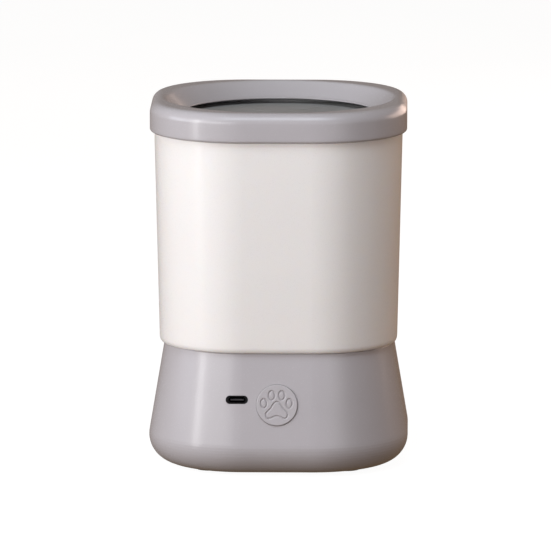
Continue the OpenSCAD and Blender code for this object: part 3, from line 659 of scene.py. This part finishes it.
def pad_line():
    """Half a groove's width inside the pad's outline."""
    left_half = [(-x, y) for x, y in PAD_HALF[-2:0:-1]]
    outline = closed_curve(PAD_HALF + left_half, 16)
    run = np.roll(outline, -1, 0) - np.roll(outline, 1, 0)
    run /= np.linalg.norm(run, axis=1)[:, None]
    return outline + GROOVE_W / 2 * np.stack([run[:, 1], -run[:, 0]], 1)


def engrave(points):
    """Sinks the points of the button's face that are near the middle of a groove."""
    lines = np.concatenate([toe_line(*toe) for toe in TOES] + [pad_line()])
    face = np.flatnonzero(points[:, 2] >= PROUD - 1e-6)
    for chunk in np.array_split(face, 40):  # in parts, to keep the table of distances small
        near = np.sqrt(((points[chunk, None, :2] - lines[None]) ** 2).sum(2)).min(1)
        dip = np.clip(1 - near / GROOVE_W, 0, 1)
        points[chunk, 2] -= GROOVE_DEPTH * dip * dip * (3 - 2 * dip)


def make_button():
    flat_r = BUTTON_R - BUTTON_EDGE_R
    profile = [(r, PROUD) for r in np.linspace(0.15, flat_r, 68)]
    profile += [(flat_r + BUTTON_EDGE_R * math.sin(t), PROUD - BUTTON_EDGE_R * (1 - math.cos(t)))
                for t in np.linspace(0, math.pi / 2, 7)[1:]]
    profile += [(BUTTON_R, FLANGE_TOP), (FLANGE_R, FLANGE_TOP), (FLANGE_R, FLANGE_FOOT),
                (STEM_R, FLANGE_FOOT), (STEM_R, STEM_FOOT), (0.4, STEM_FOOT)]
    n = BUTTON_SEGMENTS
    points = np.array([(r * math.cos(a), r * math.sin(a), z)
                       for r, z in profile for a in circle_angles(n)])
    engrave(points)
    place = panel_matrix()
    verts = [tuple(place @ Vector(p)) for p in points]
    faces = []
    for start in range(0, (len(profile) - 1) * n, n):
        for j in range(n):
            a, b = start + j, start + (j + 1) % n
            faces.append((a, a + n, b + n, b))
    faces.append(tuple(range(n)))
    faces.append(tuple(reversed(range(len(points) - n, len(points)))))
    make("paw_button", verts, faces, "shell_grey", "button", "power_button", sharp=50)


make_splash_ring()
make_guard_rim()
for petal in range(PETALS):
    make_petal(petal)
make_liner()
make_button()


# ---------------------------------------------------------------- stage
FLOOR_SIZE = 40.0
FLOOR_GLOW = 0.95  # lit by itself, so that it reads as plain white


def make_stage():
    bpy.ops.mesh.primitive_plane_add(size=FLOOR_SIZE)
    floor = bpy.context.object
    floor.name = "floor"
    g = Graph("floor")
    g.set(
        Base_Color=g.mix(g.remap(g.noise(3.0), 0.0, 1.0), (0.13, 0.13, 0.13), (0.16, 0.16, 0.16)),
        Roughness=g.remap(g.noise(20.0), 0.85, 0.95),
        Specular_IOR_Level=0.0,
        Emission_Color=(1, 1, 1, 1),
        Emission_Strength=FLOOR_GLOW,
    )
    floor.data.materials.append(g.material)
    # the room's even light stands in for the floor's bounce
    floor.visible_diffuse = False
    floor.visible_glossy = False


LIGHT_AIM = Vector((0, 0, 0.1))


def area_light(name, azimuth, elevation, distance, size, power, colour=(1, 1, 1)):
    """A soft box aimed at the object; azimuth is counted from the front towards the left."""
    data = bpy.data.lights.new(name, "AREA")
    data.shape = "RECTANGLE"
    data.size, data.size_y = size
    data.energy = power
    data.color = colour
    light = bpy.data.objects.new(name, data)
    scene.collection.objects.link(light)
    a, e = math.radians(azimuth), math.radians(elevation)
    away = Vector((-math.cos(e) * math.sin(a), -math.cos(e) * math.cos(a), math.sin(e)))
    light.location = LIGHT_AIM + away * distance
    light.rotation_euler = away.to_track_quat("Z", "Y").to_euler()


def make_room():
    """Even warm light from all round."""
    world = bpy.data.worlds.new("studio")
    scene.world = world
    world.use_nodes = True
    background = world.node_tree.nodes["Background"]
    background.inputs["Color"].default_value = (1.0, 0.66, 0.36, 1)
    background.inputs["Strength"].default_value = 0.135


def make_light():
    make_room()
    area_light("key", 40, 13, 1.2, (1.1, 0.4), 6.3, (0.98, 0.98, 1.0))
    area_light("strip", 58, 10, 1.1, (0.10, 1.0), 4.2)
    area_light("side", 84, 13, 1.2, (0.6, 0.4), 4.2, (0.86, 0.89, 1.0))
    area_light("front", -4, 8, 1.6, (1.5, 0.8), 2.7, (0.82, 0.79, 1.0))
    area_light("right", -28, 8, 1.6, (0.7, 0.8), 1.9)
    area_light("top", 0, 60, 1.3, (0.9, 0.6), 8.4, (0.80, 0.90, 1.0))
    area_light("rim", -134, 12, 1.2, (1.3, 0.45), 6.6, (1.0, 0.75, 0.64))
    scene.view_settings.view_transform = "Standard"
    scene.view_settings.exposure = 0


make_stage()
make_light()
